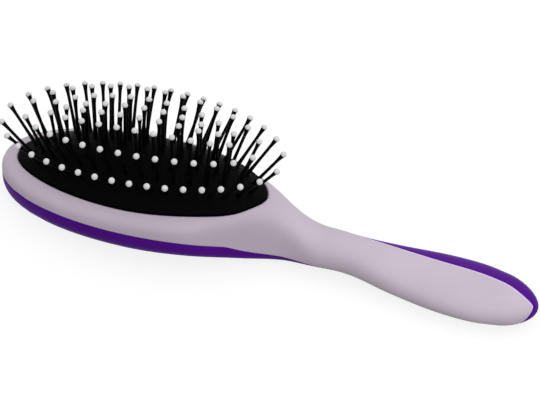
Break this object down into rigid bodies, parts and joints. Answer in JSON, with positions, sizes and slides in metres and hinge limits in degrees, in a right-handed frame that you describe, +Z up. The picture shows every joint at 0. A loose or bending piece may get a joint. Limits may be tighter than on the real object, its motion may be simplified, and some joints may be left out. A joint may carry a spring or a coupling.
{
  "type": "detangling brush",
  "caption": "Oval cushion hair brush with a curved two-tone moulded body, a rubber cushion and leaning ball-tipped pins.",
  "frame": {"origin": "middle of the bounding box, on the surface that the brush lies on with its pins up", "axes": "+X from the head to the end of the handle, +Z up, -Y the side where the front shell covers the handle"},
  "size_m": [0.2304, 0.0642, 0.0564],
  "materials": {
    "lilac_soft_touch": "soft-touch matte lilac",
    "purple_plastic": "satin purple",
    "black_rubber": "smooth satin rubber",
    "black_nylon": "smooth nylon",
    "black_plastic": "plain moulded",
    "white_tip": "smooth off-white"
  },
  "bodies": {
    "housing": {"front_shell": "lilac_soft_touch", "back_shell": "purple_plastic", "cushion_pad": "black_rubber", "clamp_ring": "black_plastic"},
    "oval_1_pins": {"pins_oval_1_near": "black_nylon", "pins_oval_1_far": "black_nylon", "tips_oval_1_near": "white_tip", "tips_oval_1_far": "white_tip"},
    "oval_2_pins": {"pins_oval_2_near": "black_nylon", "pins_oval_2_far": "black_nylon", "tips_oval_2_near": "white_tip", "tips_oval_2_far": "white_tip"},
    "oval_3_pins": {"pins_oval_3_near": "black_nylon", "pins_oval_3_far": "black_nylon", "tips_oval_3_near": "white_tip", "tips_oval_3_far": "white_tip"},
    "oval_4_pins": {"pins_oval_4_near": "black_nylon", "pins_oval_4_far": "black_nylon", "tips_oval_4_near": "white_tip", "tips_oval_4_far": "white_tip"}
  },
  "joints": [
    {"name": "cushion_press", "type": "slide", "parent": "housing", "child": "oval_4_pins", "axis": [-0.104, 0, 0.9946], "range_m": [-0.004, 0], "stiffness_N_per_m": 1500, "deforming": ["cushion_pad"]},
    {"name": "oval_1_press", "type": "slide", "parent": "housing", "child": "oval_1_pins", "axis": [-0.104, 0, 0.9946], "range_m": [-0.00102, 0]},
    {"name": "oval_2_press", "type": "slide", "parent": "housing", "child": "oval_2_pins", "axis": [-0.104, 0, 0.9946], "range_m": [-0.00234, 0]},
    {"name": "oval_3_press", "type": "slide", "parent": "housing", "child": "oval_3_pins", "axis": [-0.104, 0, 0.9946], "range_m": [-0.00342, 0]}
  ],
  "couplings": [
    {"joint": "oval_1_press", "follows": "cushion_press", "ratio": 0.25},
    {"joint": "oval_2_press", "follows": "cushion_press", "ratio": 0.58},
    {"joint": "oval_3_press", "follows": "cushion_press", "ratio": 0.85}
  ]
}
